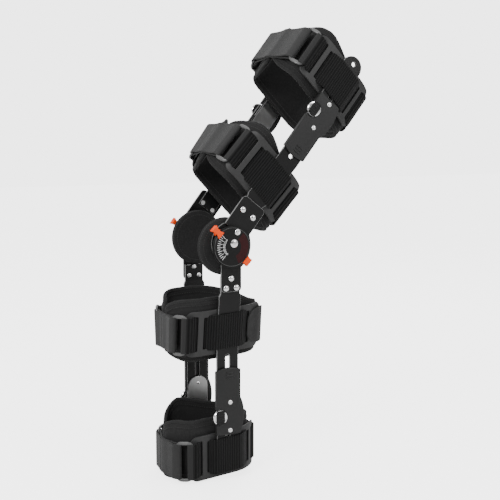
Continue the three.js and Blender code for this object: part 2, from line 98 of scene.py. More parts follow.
def grid_faces(rows, columns, round_columns=False, ends=False):
    """Faces between neighbours of a grid; a round grid also joins its last column to its first."""
    i = np.arange(rows - 1)[:, None]
    j = np.arange(columns if round_columns else columns - 1)[None, :]
    k = (j + 1) % columns
    quads = np.stack([i * columns + j, i * columns + k, (i + 1) * columns + k, (i + 1) * columns + j], -1)
    faces = quads.reshape(-1, 4).tolist()
    if ends:
        last = (rows - 1) * columns
        faces += [list(range(columns))[::-1], list(range(last, last + columns))]
    return faces


def piece(name, points, faces, finish, body, stands_for=(), lay=None, sharp=35):
    """A smooth mesh object at the origin, merged, facing outwards, riding on its body. A finish is its materials and,
    last, the name of a slot, which is not used here."""
    *materials, slot = finish
    mesh = bpy.data.meshes.new(name)
    mesh.from_pydata(np.asarray(points, float).reshape(-1, 3).tolist(), [], faces)
    if lay is not None:
        kept = mesh.attributes.new("lay", "FLOAT_VECTOR", "POINT")
        kept.data.foreach_set("vector", np.asarray(lay, np.float32).ravel())
    skin = bmesh.new()
    skin.from_mesh(mesh)
    bmesh.ops.remove_doubles(skin, verts=skin.verts, dist=1e-6)
    bmesh.ops.dissolve_degenerate(skin, edges=skin.edges, dist=1e-7)
    bmesh.ops.recalc_face_normals(skin, faces=skin.faces)
    skin.to_mesh(mesh)
    skin.free()
    mesh.shade_smooth()
    mesh.set_sharp_from_angle(angle=math.radians(sharp))
    for material in materials:
        mesh.materials.append(material)
    made = bpy.data.objects.new(name, mesh)
    bpy.context.scene.collection.objects.link(made)
    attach(made, body)
    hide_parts(*stands_for)
    return made


def joined(*parts):
    """Several (points, faces) as one: each part's face numbers move on by the points before it."""
    points, faces, start = [], [], 0
    for some, shapes in parts:
        flat = np.asarray(some, float).reshape(-1, 3)
        points.append(flat)
        faces += [[start + k for k in face] for face in shapes]
        start += len(flat)
    return np.concatenate(points), faces


def rows_of(items, key):
    """A property of three numbers, such as a place or a normal, read as one row for each item."""
    values = np.zeros(len(items) * 3)
    items.foreach_get(key, values)
    return values.reshape(-1, 3)


# %% [markdown]
# ## Writing a material as an expression
# A shader is a little program drawn as boxes. Wrapping a socket in a class lets it be written as sums instead:
# each operator adds its Math node, and one method makes every other kind of node.

# %% Shader helpers
OPERATIONS = {
    "__add__": "ADD", "__radd__": "ADD", "__sub__": "SUBTRACT", "__mul__": "MULTIPLY", "__rmul__": "MULTIPLY",
    "__truediv__": "DIVIDE", "__gt__": "GREATER_THAN", "__lt__": "LESS_THAN", "__abs__": "ABSOLUTE",
    "sine": "SINE", "fraction": "FRACT",
}


class Value:
    """An output socket; arithmetic on it adds Math nodes to its finish."""

    def __init__(self, finish, socket):
        self.finish, self.socket = finish, socket

    def math(self, operation, *values):
        return self.finish.node("ShaderNodeMath", {"operation": operation}, dict(enumerate(values)))

    def __rsub__(self, other):
        return self.math("SUBTRACT", other, self)

    def wave(self, pitch):
        """A sine that repeats once in every pitch."""
        return (self * (2 * math.pi / pitch)).sine()


for method, operation in OPERATIONS.items():
    setattr(Value, method, lambda self, *other, operation=operation: self.math(operation, self, *other))


class Finish:
    """A material, or a world, with one shader whose sockets take numbers, colours or values."""

    def __init__(self, name, kind=bpy.data.materials, shader="Principled BSDF", **sockets):
        self.made = kind.new(name)
        self.made.use_nodes = True
        self.tree = self.made.node_tree
        self.shader = self.tree.nodes[shader]
        self.set(**sockets)

    def node(self, kind, settings, inputs, output=0):
        made = self.tree.nodes.new(kind)
        for key, value in settings.items():
            setattr(made, key, value)
        self.feed(made, inputs)
        return Value(self, made.outputs[output])

    def feed(self, node, inputs):
        for key, value in inputs.items():
            if isinstance(value, Value):
                self.tree.links.new(value.socket, node.inputs[key])
            else:
                node.inputs[key].default_value = value

    def set(self, **sockets):
        self.feed(self.shader, {key.replace("_", " "): value for key, value in sockets.items()})

    def mixed(self, share, first, second):
        """A colour that goes from the first to the second as share goes from 0 to 1."""
        return self.node("ShaderNodeMix", {"data_type": "RGBA"}, {0: share, 6: first, 7: second}, 2)

    def noise(self, scale, detail=2.0, place=None):
        place = place or self.node("ShaderNodeTexCoord", {}, {}, "Object")
        return self.node("ShaderNodeTexNoise", {}, {"Vector": place, "Scale": scale, "Detail": detail})

    def parts(self, vector):
        return [self.node("ShaderNodeSeparateXYZ", {}, {0: vector}, k) for k in range(3)]

    def lay(self):
        """The place on the cloth: along, across and a third value, in metres."""
        return self.parts(self.node("ShaderNodeAttribute", {"attribute_name": "lay"}, {}, "Vector"))

    def seen(self):
        """One on the backdrop itself, nought in the light that it throws on the object."""
        return self.node("ShaderNodeLightPath", {}, {}, "Is Camera Ray")

    def bump(self, height, distance, strength=1.0):
        bump = self.node("ShaderNodeBump", {}, {"Height": height, "Distance": distance, "Strength": strength})
        self.set(Normal=bump)


def grey(value):
    """An opaque neutral colour."""
    return (value, value, value, 1.0)


print("shader helpers ready")

# %% [markdown]
# ## Hard finishes
# The bars are steel with a black satin coat that has worn thin along the edges, so their edge faces get a dull
# worn metal. Fine noise in the roughness keeps a coat from looking like plastic film, and a grain bump a
# twentieth of a millimetre deep makes the moulded parts look moulded.

# %% Metal and plastic


def coated():
    finish = Finish("coated_metal", Specular_IOR_Level=0.2, Coat_Roughness=0.3)
    cloud = finish.noise(38.0, 4.0)
    finish.set(Base_Color=finish.mixed(cloud, grey(0.0035), grey(0.0065)))
    finish.set(Roughness=0.34 + cloud * 0.14, Coat_Weight=0.02 + cloud * 0.04)
    finish.bump(finish.noise(2600.0), 0.00004)
    return finish.made


def steel(name, dark, light, rough):
    """Brushed along the height, with a few broad stains."""
    finish = Finish(name, Metallic=1.0)
    place = finish.node("ShaderNodeTexCoord", {}, {}, "Object")
    drawn = finish.node("ShaderNodeMapping", {}, {"Vector": place, "Scale": (700.0, 700.0, 40.0)})
    brushed = finish.noise(1.0, 3.0, drawn)
    stain = finish.noise(60.0, 3.0)
    finish.set(Base_Color=finish.mixed(brushed * 0.5 + stain * 0.5, grey(dark), grey(light)))
    finish.set(Roughness=rough + brushed * 0.06 + stain * 0.06)
    finish.bump(brushed, 0.000004)
    return finish.made, "bare_metal"


def moulded(name, dark, light, rough, gloss=0.2, slot=None):
    """A cloudy colour under a fine grain; gloss is the share of light that its skin reflects."""
    finish = Finish(name, Specular_IOR_Level=gloss)
    cloud = finish.noise(55.0, 3.0)
    finish.set(Base_Color=finish.mixed(cloud, dark, light))
    finish.set(Roughness=rough + cloud * 0.12)
    finish.bump(finish.noise(1500.0), 0.00005)
    return finish.made, slot or name


COATED = coated(), steel("worn_edge", 0.24, 0.44, 0.32)[0], "coated_metal"
BARE = steel("bare_metal", 0.26, 0.40, 0.26)
BRIGHT = steel("bright_rivet", 0.80, 0.92, 0.06)
HAMMERED = steel("hammered_rivet", 0.80, 0.92, 0.30)
MOULDED = moulded("moulded", grey(0.0030), grey(0.0055), 0.36)
COVER_COAT = moulded("slide_cover", grey(0.0065), grey(0.0100), 0.38, 0.32, "moulded")
PLATE = moulded("plate", grey(0.020), grey(0.029), 0.46, 0.3)
RING = moulded("ring", grey(0.055), grey(0.080), 0.34, 0.6)
SIGNAL = moulded("signal", (0.72, 0.050, 0.0002, 1), (0.86, 0.070, 0.0004, 1), 0.34)
PRINT = moulded("white_print", grey(0.62), grey(0.82), 0.50, slot="bare_metal")
RED = moulded("red_print", (0.016, 0.0010, 0.0014, 1), (0.028, 0.0018, 0.0024, 1), 0.42, slot="signal")
print("finishes", [material.name for material in bpy.data.materials])

# %% [markdown]
# ## Cloth finishes
# The webbing has ribs across its run, three millimetres apart; in the fold round each ring they are pressed smooth
# and the colour is painted paler, a painted highlight.
# The front straps are a plain fine weave. The liners are velour with a bound rim and two rows of stitches that
# follow it; their outer face is painted paler as painted light, and the face towards the leg darker as painted shade.
# All of them read `lay`, so ribs, weave and stitches keep to the cloth wherever it turns.

# %% Webbing, strap and velour
RIB, PICK, WEAVE, DASH = 0.0032, 0.0011, 0.0013, 0.0034
PAD_LEVEL = -6.9
LIT_FOLD_REACH, HEM, BINDING, DASH_SHARE = 0.013, 0.0205, 0.0042, 0.62
STITCH_ROWS, STITCH_HALF = (0.0031, 0.0086), 0.0004


def webbing():
    finish = Finish("webbing", Sheen_Weight=0.05, Sheen_Roughness=0.5, Specular_IOR_Level=0.12, Roughness=0.78)
    along, across, end = finish.lay()
    rib = along.wave(RIB)
    # Near both ends the webbing runs round the rings; there its colour is painted paler, a painted highlight on the
    # fold.
    lit_fold = end < LIT_FOLD_REACH
    ribbed = finish.mixed(rib * 0.5 + 0.5, grey(0.0010), grey(0.0095))
    finish.set(Base_Color=finish.mixed(lit_fold, ribbed, grey(0.020)))
    finish.bump((rib + across.wave(PICK) * 0.3) * (1 - lit_fold * 0.85), 0.0004, 0.9)
    return finish.made, "webbing"


def strap():
    finish = Finish("strap", Sheen_Weight=0.10, Sheen_Roughness=0.45, Specular_IOR_Level=0.15)
    along, across, _ = finish.lay()
    weave = along.wave(WEAVE) * across.wave(WEAVE)
    nap = finish.noise(420.0, 4.0)
    drift = finish.noise(35.0, 3.0)
    hem = abs(across) > HEM
    finish.set(Base_Color=finish.mixed(nap * 0.6 + drift * 0.4, grey(0.015), grey(0.034)))
    finish.set(Roughness=0.74 + nap * 0.15)
    finish.bump(weave * 0.4 + nap + hem * 0.6, 0.00022, 0.8)
    return finish.made, "strap"


def velour():
    finish = Finish("velour", Sheen_Weight=0.12, Sheen_Roughness=0.4, Sheen_Tint=grey(0.6),
                    Specular_IOR_Level=0.1)
    along, deep, level = finish.lay()
    nap = finish.noise(520.0, 4.0)
    drift = finish.noise(26.0, 3.0)
    # The outer face, and every condyle pad, gets the paler colour, which is painted light; the face towards the leg
    # gets the darker colour, which is painted shade.
    outside = level > PAD_LEVEL * MM
    rim = deep < BINDING
    first, second = (abs(deep - row) < STITCH_HALF for row in STITCH_ROWS)
    stitch = (first + second) * ((along / DASH).fraction() < DASH_SHARE)
    speckle = drift * 0.35 + nap * 0.65
    shaded_inner_face = finish.mixed(speckle, grey(0.0040), grey(0.0210))
    lit_outer_face = finish.mixed(speckle, grey(0.0050), grey(0.0300))
    bound = finish.mixed(rim * 0.7, finish.mixed(outside, shaded_inner_face, lit_outer_face), grey(0.018))
    finish.set(Base_Color=finish.mixed(stitch * 0.8, bound, grey(0.038)), Roughness=0.8 + nap * 0.2)
    finish.bump(nap * 0.7 + stitch * 0.5, 0.0004, 0.8)
    return finish.made, "velour"


WEBBING, STRAP, VELOUR = webbing(), strap(), velour()
print("cloth", WEBBING, STRAP, VELOUR)

# %% [markdown]
# ## Flat parts cut to an outline
# Arms, bars, tongues, plates and rings are all sheets cut to an outline with holes. A filled 2D curve gives
# exactly that, with its edges rounded by its bevel. Made a mesh, sliced where it has to bend and run through a
# formula, the same flat part becomes a straight bar or a plate that wraps round the leg.

# %% Outlines and flat parts


def arc(y, z, radius, first, last, steps=12):
    """Points round a centre from one angle to another, in degrees."""
    angle = np.radians(np.linspace(first, last, steps))
    return np.stack([y + radius * np.cos(angle), z + radius * np.sin(angle)], -1)


def round_hole(z, radius):
    """A circle of 24 points on the middle line."""
    return arc(0, z, radius, 0, 345, 24)


def rounded(left, right, low, high, radius, steps=8):
    """A rectangle whose four corners are quarter circles."""
    centres = [(right - radius, low + radius), (right - radius, high - radius),
               (left + radius, high - radius), (left + radius, low + radius)]
    return np.concatenate([arc(*centre, radius, 90 * k - 90, 90 * k, steps) for k, centre in enumerate(centres)])


def drawn_mesh(curve):
    """The mesh of a curve or of lettering, which is itself removed."""
    drawn = bpy.data.objects.new("drawn", curve)
    mesh = bpy.data.meshes.new_from_object(drawn)
    bpy.data.objects.remove(drawn)
    bpy.data.curves.remove(curve)
    return mesh


def flat_part(loops, thick, edge, cuts=(), axis=0):
    """The first loop is the rim and the others are holes; depth runs from -thick / 2 to thick / 2."""
    curve = bpy.data.curves.new("outline", "CURVE")
    curve.dimensions, curve.fill_mode, curve.bevel_resolution = "2D", "BOTH", 1
    curve.extrude, curve.bevel_depth, curve.offset = thick / 2 - edge, edge, -edge
    for loop in loops:
        line = curve.splines.new("POLY")
        line.points.add(len(loop) - 1)
        line.points.foreach_set("co", np.c_[loop, np.zeros(len(loop)), np.ones(len(loop))].ravel())
        line.use_cyclic_u = True
    sheet = drawn_mesh(curve)
    skin = bmesh.new()
    skin.from_mesh(sheet)
    bpy.data.meshes.remove(sheet)
    bmesh.ops.remove_doubles(skin, verts=skin.verts, dist=1e-4)
    across = Vector((1 - axis, axis, 0))
    for cut in cuts:
        everything = skin.verts[:] + skin.edges[:] + skin.faces[:]
        bmesh.ops.bisect_plane(skin, geom=everything, plane_co=across * cut, plane_no=across)
    skin.verts.index_update()
    points = np.array([v.co for v in skin.verts])
    faces = [[v.index for v in face.verts] for face in skin.faces]
    skin.free()
    return points, faces


print("a test sheet has", len(flat_part([rounded(-5, 5, 0, 20, 2)], 2, 0.4)[1]), "faces")

# %% [markdown]
# ## Arms and bars
# Each hinge arm has a round head on its pivot. The bar behind it slants along the leg between two bends and
# then runs straight, with a slot for the sliding cover and two holes. Both are plain flat steel, so their whole
# character is in the outline and in the bright worn edges.

# %% Arms and bars
GAP = 0.4
ARM_THICK, BAR_THICK, STEEL_EDGE = 2.5, 3.0, 0.35
ARM_CORNER, BAR_HALF, NECK_HALF, SHOULDER, BAR_END = 5, 15, 13, 4, 260
PIVOT_BORE, BAR_SLOT, BAR_HOLES = 3.65, (-3, 3, 144, 256, 2.99), ((117.7, 3), (265.5, 3))


def table(keys, *rows):
    """Rows of a name and its values, as a dictionary of dictionaries."""
    return {name: dict(zip(keys.split(), values)) for name, *values in rows}


LIMBS = table("up arm_x arm_half head arm_end bar_from bar_x out_x bend button tongue_end",
              ("thigh", 1, 61.4, 18.3, 10.5, 44, 23.5, 59.5, 71.5, (46, 112), 183, 253),
              ("calf", -1, 58.5, 14, 27, 62, 42, 56.6, 48, (64, 134), 225, 295))
LIMB_SIDES = [(name, limb, side, f"{name}_{{}}_{side_name}".format)
              for name, limb in LIMBS.items() for side_name, side in SIDES.items()]


def arm_outline(limb):
    """A circle on the pivot that runs into straight sides, square corners rounded at the far end."""
    half, head = limb["arm_half"], limb["head"]
    meet = math.degrees(math.asin(min(1, half / head)))
    start = [arc(0, 0, head, 90 + meet, 450 - meet, 48)]
    if half > head:
        start = [[[-half, 0]], *start, [[half, 0]]]
    inset, end = half - ARM_CORNER, limb["arm_end"] - ARM_CORNER
    return np.concatenate([*start, arc(inset, end, ARM_CORNER, 0, 90), arc(-inset, end, ARM_CORNER, 90, 180)])


def bar_outline(limb):
    """A narrow neck under the arm, a shoulder to full width, and a half round end."""
    low, bend = limb["bar_from"], limb["bend"][0]
    neck = [[NECK_HALF, low], [NECK_HALF, bend], [BAR_HALF, bend + SHOULDER]]
    return np.concatenate([[[-NECK_HALF, low]], neck, arc(0, BAR_END, BAR_HALF, 0, 180, 24),
                           [[-BAR_HALF, bend + SHOULDER], [-NECK_HALF, bend]]])


def laid_flat(limb_name, side, x, points):
    """A flat part set on a limb: its depth points out of the leg from x, its height along the limb."""
    y, height, deep = points.T
    return in_place(limb_name, np.stack([side * (x + deep), y, LIMBS[limb_name]["up"] * height], -1))


def worn_edges(made):
    """Faces that look across the part, not out of the leg, get the second material."""
    flat = np.abs(rows_of(made.data.polygons, "normal")[:, 0]) > 0.94
    made.data.polygons.foreach_set("material_index", (~flat).astype(np.int32))


for limb_name, limb, side, named in LIMB_SIDES:
    arm = flat_part([arm_outline(limb), round_hole(0, PIVOT_BORE)], ARM_THICK, STEEL_EDGE)
    cuts = [rounded(*BAR_SLOT), *(round_hole(*hole) for hole in BAR_HOLES)]
    bar = flat_part([bar_outline(limb), *cuts], BAR_THICK, STEEL_EDGE, limb["bend"], 1)
    slant = np.interp(bar[0][:, 1], limb["bend"], (limb["bar_x"], limb["out_x"]))
    for part, node, x, (points, faces) in (("hinge_arm", "arm", limb["arm_x"] + ARM_THICK / 2, arm),
                                           ("side_bar", "bar", slant, bar)):
        worn_edges(piece(named(part), laid_flat(limb_name, side, x, points), faces, COATED, limb_name,
                         [named(node)], sharp=14))

# %% [markdown]
# ## Slides: tongues, covers and rivets
# A bare steel tongue carries each outer cuff along its bar. A moulded cover rides on the bar in front of it,
# with a rounded upper edge, a bulge behind the button, a round bay for the button and three ridges to grip.
# Two domed rivets hold cover and tongue together.

# %% Slides
COVER = dict(thick=3, half=17, above=64, below=24, flare=5, crown=3.5, wall=1.6)
BUTTON_Y, BAY, BAY_HALF, BAY_CLEAR = -12.5, 10, 8.93, 9.6
TONGUE_HALF, TONGUE_ABOVE, TONGUE_CORNER, TONGUE_THICK = 14, 30, 13, 2
COVER_RIVET, RIVET_Y, RIVET_REACH = (3.1, 1.5), 2.0, 18.5
TONGUE_RIVET, TONGUE_RIVET_ABOVE = (2.2, 0.9), 21
RIDGES = np.array([6.0, 9.6, 13.2])


def turned(profile, segments=28):
    """A profile of [radius, distance] carried round its axis: rows follow the profile, columns the turn."""
    radius, out = np.asarray(profile, float).T
    angle = np.linspace(0, 2 * math.pi, segments, endpoint=False)
    skin = np.stack([np.repeat(out[:, None], segments, 1), np.outer(radius, np.cos(angle)),
                     np.outer(radius, np.sin(angle))], -1)
    return skin, grid_faces(len(radius), segments, True)


def dome(radius, tall, steps=6):
    """A quarter ellipse from the rim up to the pole, on a short foot."""
    angle = np.linspace(0, math.pi / 2, steps)
    round_top = np.stack([radius * np.cos(angle), 0.3 + tall * np.sin(angle)], -1)
    return np.concatenate([[[0, -0.6], [radius, -0.6]], round_top])


def along_edge(first, control, last, steps=16):
    """A curve with one control point, as a drawn spring line is."""
    t = np.linspace(0, 1, steps)[:, None]
    first, control, last = map(np.asarray, (first, control, last))
    return (1 - t) ** 2 * first + 2 * t * (1 - t) * control + t ** 2 * last


def cover_outline(button, low, high):
    """A crowned top, a bulging back edge, a straight front edge with a round bay for the button."""
    half, crown = COVER["half"], COVER["crown"]
    top = along_edge((-half, low + crown), (0, low - crown), (half, low + crown))
    bulge = (half + 2 * COVER["flare"], button - 5)
    back = along_edge((half, button - COVER["below"]), bulge, (half, high))
    reach = math.degrees(math.asin(BAY_HALF / BAY))
    bay = arc(BUTTON_Y, button, BAY, 180 - reach, reach - 180, 24)
    return np.concatenate([top, back, [[-half, high]], bay]), np.concatenate([top[-1:], back])


def stood(limb_name, side, base, points, y=0.0, height=0.0):
    """A turned part set on a limb: its axis points out of the leg at (y, height)."""
    up = LIMBS[limb_name]["up"]
    return in_place(limb_name, points * (side, 1, 1) + (side * base, y, up * height))


for limb_name, limb, side, named in LIMB_SIDES:
    button, body = limb["button"], f"{limb_name}_slide"
    low, high = button - COVER["above"], button + COVER["below"]
    floor, behind = limb["out_x"] + BAR_THICK / 2 + GAP, limb["out_x"] - BAR_THICK / 2 - GAP
    tongue = rounded(-TONGUE_HALF, TONGUE_HALF, button - TONGUE_ABOVE, limb["tongue_end"], TONGUE_CORNER)
    points, faces = flat_part([tongue], TONGUE_THICK, 0.3)
    piece(named("slide_tongue"), laid_flat(limb_name, side, behind - TONGUE_THICK / 2, points), faces, BARE, body,
          [named("tongue")], sharp=14)
    outline, rear = cover_outline(button, low, high)
    inside = COVER["half"] - COVER["wall"]
    rails = [np.concatenate([rear, [[inside, high], [inside, low + COVER["crown"]]]]),
             rounded(-COVER["half"], -inside, low + 4, button - BAY_CLEAR, 0.7, 3),
             rounded(-COVER["half"], -inside, button + BAY_CLEAR, high, 0.7, 3)]
    ridges = [rounded(-3.5, 6.5, z, z + 1.7, 0.8, 5) for z in low + RIDGES]
    parts = [(flat_part([loop], thick, edge), level) for loops, thick, edge, level in (
        ([outline], COVER["thick"], 0.9, 1.5), (rails, 4.6, 0.3, -0.6), (ridges, 1.4, 0.5, 3.1)) for loop in loops]
    points, faces = joined(*((some + (0, 0, floor + level), shapes) for (some, shapes), level in parts))
    piece(named("slide_cover"), laid_flat(limb_name, side, 0, points), faces, COVER_COAT, body,
          [named("cover")], sharp=20)
    skin, shapes = turned(dome(*COVER_RIVET))
    heads = [(stood(limb_name, side, floor + COVER["thick"], skin, RIVET_Y, button + way * RIVET_REACH), shapes)
             for way in (-1, 1)]
    skin, shapes = turned(dome(*TONGUE_RIVET))
    heads.append((stood(limb_name, -side, TONGUE_THICK - behind, skin, 0.0, button - TONGUE_RIVET_ABOVE), shapes))
    piece(named("slide_rivets"), *joined(*heads), BRIGHT, body)

# %% [markdown]
# ## Push buttons
# The release button is a round steel cup with a ribbed black grip across it, so a bright crescent shows on each
# side of the grip. The cup is a turned profile, and the ribs are a wave in the height of a small grid.

# %% Buttons
CUP = [[0, 0], [9.2, 0], [9.6, 0.4], [9.6, 2.4], [9.1, 3.0], [8.2, 3.2], [7.6, 2.7], [0, 2.6]]
BUTTON_FOOT, GRIP_HALF, GRIP_RADIUS, GRIP_FOOT = 2.6, 6.9, 9.7, 2.0
u, v = np.linspace(-1, 1, 41)[:, None], np.linspace(-1, 1, 13)[None, :]
wide = GRIP_HALF * v * np.ones_like(u)
tall = u * np.sqrt(GRIP_RADIUS ** 2 - wide ** 2)
rise = 3.35 + 0.22 * np.cos(u * 7 * math.pi) - 0.5 * v ** 8 - 0.25 * u ** 8
rise[[0, -1], :], rise[:, [0, -1]] = GRIP_FOOT, GRIP_FOOT
order = np.arange(rise.size).reshape(rise.shape)
rim = np.r_[order[0], order[1:, -1], order[-1, -2::-1], order[-2:0:-1, 0]][::-1]
grip = np.stack([rise, wide, tall], -1), [*grid_faces(*rise.shape), rim.tolist()]
for limb_name, limb, side, named in LIMB_SIDES:
    body, foot = named("button"), limb["out_x"] + BAR_THICK / 2 + BUTTON_FOOT
    for part, (skin, shapes), finish, stands_for in (("button_cup", turned(CUP, 40), BRIGHT, [body]),
                                                     ("button_grip", grip, MOULDED, [])):
        made = stood(limb_name, side, foot, skin, BUTTON_Y, limb["button"])
        piece(named(part), made, shapes, finish, body, stands_for)

# %% [markdown]
# ## Rivets of the hinge arms
# Bright domed rivets join each arm to its bar: three in a triangle on the calf, two side by side on the thigh.
# Their other ends are hammered nearly flush on the inner face of the bar, so they clear the knee pads.

# %% Arm rivets
ARM_RIVETS = {"calf": [(0, 44.9), (-7.2, 57), (7.2, 57)], "thigh": [(-8.8, 27.6), (8.8, 27.6)]}
FLUSH = {"calf": 0.6, "thigh": 0.05}
for limb_name, places in ARM_RIVETS.items():
    limb, outer, inner = LIMBS[limb_name], turned(dome(3.9, 1.9, 8)), turned(dome(3.0, FLUSH[limb_name], 5))
    for side_name, side in SIDES.items():
        for part, way, base, (skin, shapes), finish in (
                ("arm_rivets", side, limb["arm_x"] + ARM_THICK, outer, BRIGHT),
                ("rivet_ends", -side, BAR_THICK / 2 - limb["bar_x"], inner, HAMMERED)):
            heads = [(stood(limb_name, way, base, skin, *place), shapes) for place in places]
            piece(f"{limb_name}_{part}_{side_name}", *joined(*heads), finish, limb_name)

# %% [markdown]
# ## Dials
# The dial is a turned disc: a boss, a rim for the stops, and a face inside a thin bright line. Printed on it are
# a fan of scale lines with degrees at the front and a dark red sector at the back. The prints are real
# surfaces a tenth of a millimetre proud, because they then stay sharp at any distance.

# %% Dials and prints
DIAL_X, RIM_X, FACE_X, PROUD = 64.3, 66.3, 69.5, 0.12
MARK_FROM, MARK_TO, MARK_HALF, MARKS = (14.0, 16.5), 20.5, 0.9, np.arange(132, 236, 8)
DIALS = table("y z extension flexion", ("lateral", -1, -4.8, 136, -43), ("medial", 3.7, -3.2, 142, -43))
DISC = [[0, DIAL_X], [18.6, DIAL_X], [19, 64.7], [19, RIM_X], [25.6, RIM_X], [26, 66.7], [26, 67.9], [25.6, 68.3],
        [24.7, 68.3], [24.5, 68.5], [24.5, 69.2], [24.2, FACE_X], [0, FACE_X]]


def on_dial(side_name, radius, angle, x):
    """Polar places on the dial, angles in degrees from the back upwards in the part's own frame."""
    hinge, turn = DIALS[side_name], np.radians(angle) + FLEXION / 2
    radius, turn, x = np.broadcast_arrays(np.asarray(radius, float), turn, np.asarray(x, float))
    y, z = hinge["y"] + radius * np.cos(turn), hinge["z"] + radius * np.sin(turn)
    return in_place("bridge", np.stack([SIDES[side_name] * x, y, z], -1))


def pad_on_dial(side_name, inner, outer, first, last, tall, steps):
    """A low pad between two radii and two angles: rows follow the angle, columns go up, across and down."""
    angle = np.linspace(first, last, steps)[:, None]
    radius = np.array([inner, inner, outer, outer])[None, :]
    height = FACE_X + np.array([-0.2, tall, tall, -0.2])[None, :]
    return on_dial(side_name, radius, angle, height), grid_faces(steps, 4, True, True)


for side_name, side in SIDES.items():
    radius, x = np.asarray(DISC, float).T
    disc = on_dial(side_name, radius[:, None], np.linspace(0, 360, 96, endpoint=False)[None, :], x[:, None])
    piece(f"hinge_dial_{side_name}", disc, grid_faces(len(radius), 96, True), MOULDED, "bridge",
          [f"dial_{side_name}"])
    marks = [pad_on_dial(side_name, MARK_FROM[k % 2], MARK_TO, angle - MARK_HALF, angle + MARK_HALF, PROUD, 3)
             for k, angle in enumerate(MARKS)]
    heads = []
    for z, head in ((0, 5.0), (PIVOT_SPACING, 3.8)):
        rim = [[0, 0], [head, 0], [head, 0.7], [head * 0.86, 1.25], [head * 0.6, 1.75]]
        well = [[head * 0.42, 1.3], [head * 0.36, 0.8], [0, 0.8]] if z else [[head * 0.3, 1.8], [0, 1.8]]
        skin, shapes = turned(rim + well, 32)
        heads.append((in_place("bridge", skin * (side, 1, 1) + (side * (FACE_X - 0.05), 0, z)), shapes))
    for part, made, finish in (
            ("line", pad_on_dial(side_name, 23.65, 24.05, 0, 359.9, PROUD, 121), RING),
            ("scale", joined(*marks), PRINT),
            ("sector", pad_on_dial(side_name, 12, 22.4, -68, 48, 0.1, 40), RED),
            ("pivots", joined(*heads), BRIGHT)):
        piece(f"dial_{part}_{side_name}", *made, finish, "bridge")

# %% [markdown]
# The degrees are the only lettering. Blender's own font is made a mesh first, and its points are then turned
# onto the face, so they read outwards from the pivot like the figures on a protractor.

# %% Degrees on the dial
DIGIT_SIZE, DIGIT_RADIUS = 3.8, 11.4
for side_name, side in SIDES.items():
    parts = []
    for degrees, angle in zip(range(0, 91, 15), np.radians(np.arange(132, 239, 16))):
        letters = bpy.data.curves.new("degrees", "FONT")
        letters.body, letters.size, letters.resolution_u = str(degrees), DIGIT_SIZE, 2
        letters.align_x, letters.align_y = "CENTER", "CENTER"
        figure = drawn_mesh(letters)
        right, up, _ = rows_of(figure.vertices, "co").T
        shapes = [list(polygon.vertices) for polygon in figure.polygons]
        bpy.data.meshes.remove(figure)
        y, z = DIGIT_RADIUS * np.cos(angle) + side * right, DIGIT_RADIUS * np.sin(angle) + up
        parts.append((on_dial(side_name, np.hypot(y, z), np.degrees(np.arctan2(z, y)), FACE_X + 0.1), shapes))
    piece(f"dial_degrees_{side_name}", *joined(*parts), PRINT, "bridge", sharp=180)

# %% [markdown]
# ## Stops
# The bright stops are set in the rim to limit how far the knee bends. The front one is a little spool to pull by,
# wide at both ends and hollow at the waist, and the rear one a rounded cube. In each, a rounded rectangle is
# carried outwards along the radius, and its width follows the waist.

# %% Stops
STOPS = {
    "extension": [(21.0, 35.8, 2.9, 5.6, 69.65, 72.4), (26.5, 35.5, 2.9, 5.4, 64.4, 70.0)],
    "flexion": [(23.8, 31.8, 4.9, 5.7, 69.65, 72.2), (26.5, 31.5, 4.8, 5.5, 64.4, 70.0)],
}


def block(radius, half, x_low, x_high, power=5.0, segments=32):
    """A superellipse carried along the radius; each row has its own half width, and the ends close to a point."""
    angle = np.linspace(0, 2 * math.pi, segments, endpoint=False)
    c, s = (np.sign(part) * np.abs(part) ** (2 / power) for part in (np.cos(angle), np.sin(angle)))
    shrink = np.ones(len(radius))
    shrink[[0, -1]], shrink[[1, -2]] = 0, 0.88
    wide = (half * shrink)[:, None] * c
    x = (x_low + x_high) / 2 + ((x_high - x_low) / 2 * shrink)[:, None] * s
    return np.repeat(radius[:, None], segments, 1), wide, x, grid_faces(len(radius), segments, True)


def spool(low, high, waist, flange, rows=15):
    """Radius and half width of each row: the flange at both ends and a smooth hollow between."""
    t = np.linspace(0, 1, rows)
    half = waist + (flange - waist) * np.abs(2 * t - 1) ** 1.7
    radius = np.r_[low, low + 0.5, low + (high - low) * t[1:-1], high - 0.5, high]
    return radius, np.r_[half[0], half, half[-1]]


for side_name in SIDES:
    for kind, blocks in STOPS.items():
        parts = []
        for low, high, waist, flange, x_low, x_high in blocks:
            radius, wide, x, shapes = block(*spool(low, high, waist, flange), x_low, x_high)
            turn = DIALS[side_name][kind] + np.degrees(np.arctan2(wide, radius))
            parts.append((on_dial(side_name, np.hypot(radius, wide), turn, x), shapes))
        name = f"{kind}_stop_{side_name}"
        piece(f"{kind}_spool_{side_name}", *joined(*parts), SIGNAL, name, [name], sharp=60)

# %% [markdown]
# ## The wall of a cuff
# Everything soft on the brace lies on four walls round the leg. In plan a wall is a pointed nose, two front
# corners and a rounded back. A place on it is the length along that plan from the nose, how high it stands
# above the wall, and its height on the limb, so a strap is just a line drawn in those three numbers.

# %% Walls
FRONT_ROUND, BACK_ROUND, SMOOTH = 26, 38, 61
SLIDE_DEPTH, BAR_DEPTH = 6.9, 4.5
CUFFS = table("limb body slides strap low high corner nose back shift tilt",
              ("thigh_upper", "thigh", "thigh_slide", True, 234, 195, 277, 60, 73, 60, 2, 0.14),
              ("thigh_lower", "thigh", "thigh", False, 77, 40, 121, 57, 73, 57, -2, 0.16),
              ("calf_upper", "calf", "calf", False, 113, 68, 151, 53, 66, 60, 3.5, 0.06),
              ("calf_lower", "calf", "calf_slide", True, 276, 227, 306.5, 52, 71, 51, 10, 0.08))


def reaches(line):
    """The length along a line up to each of its points."""
    return np.r_[0, np.cumsum(np.hypot(*np.diff(line, axis=0).T))]


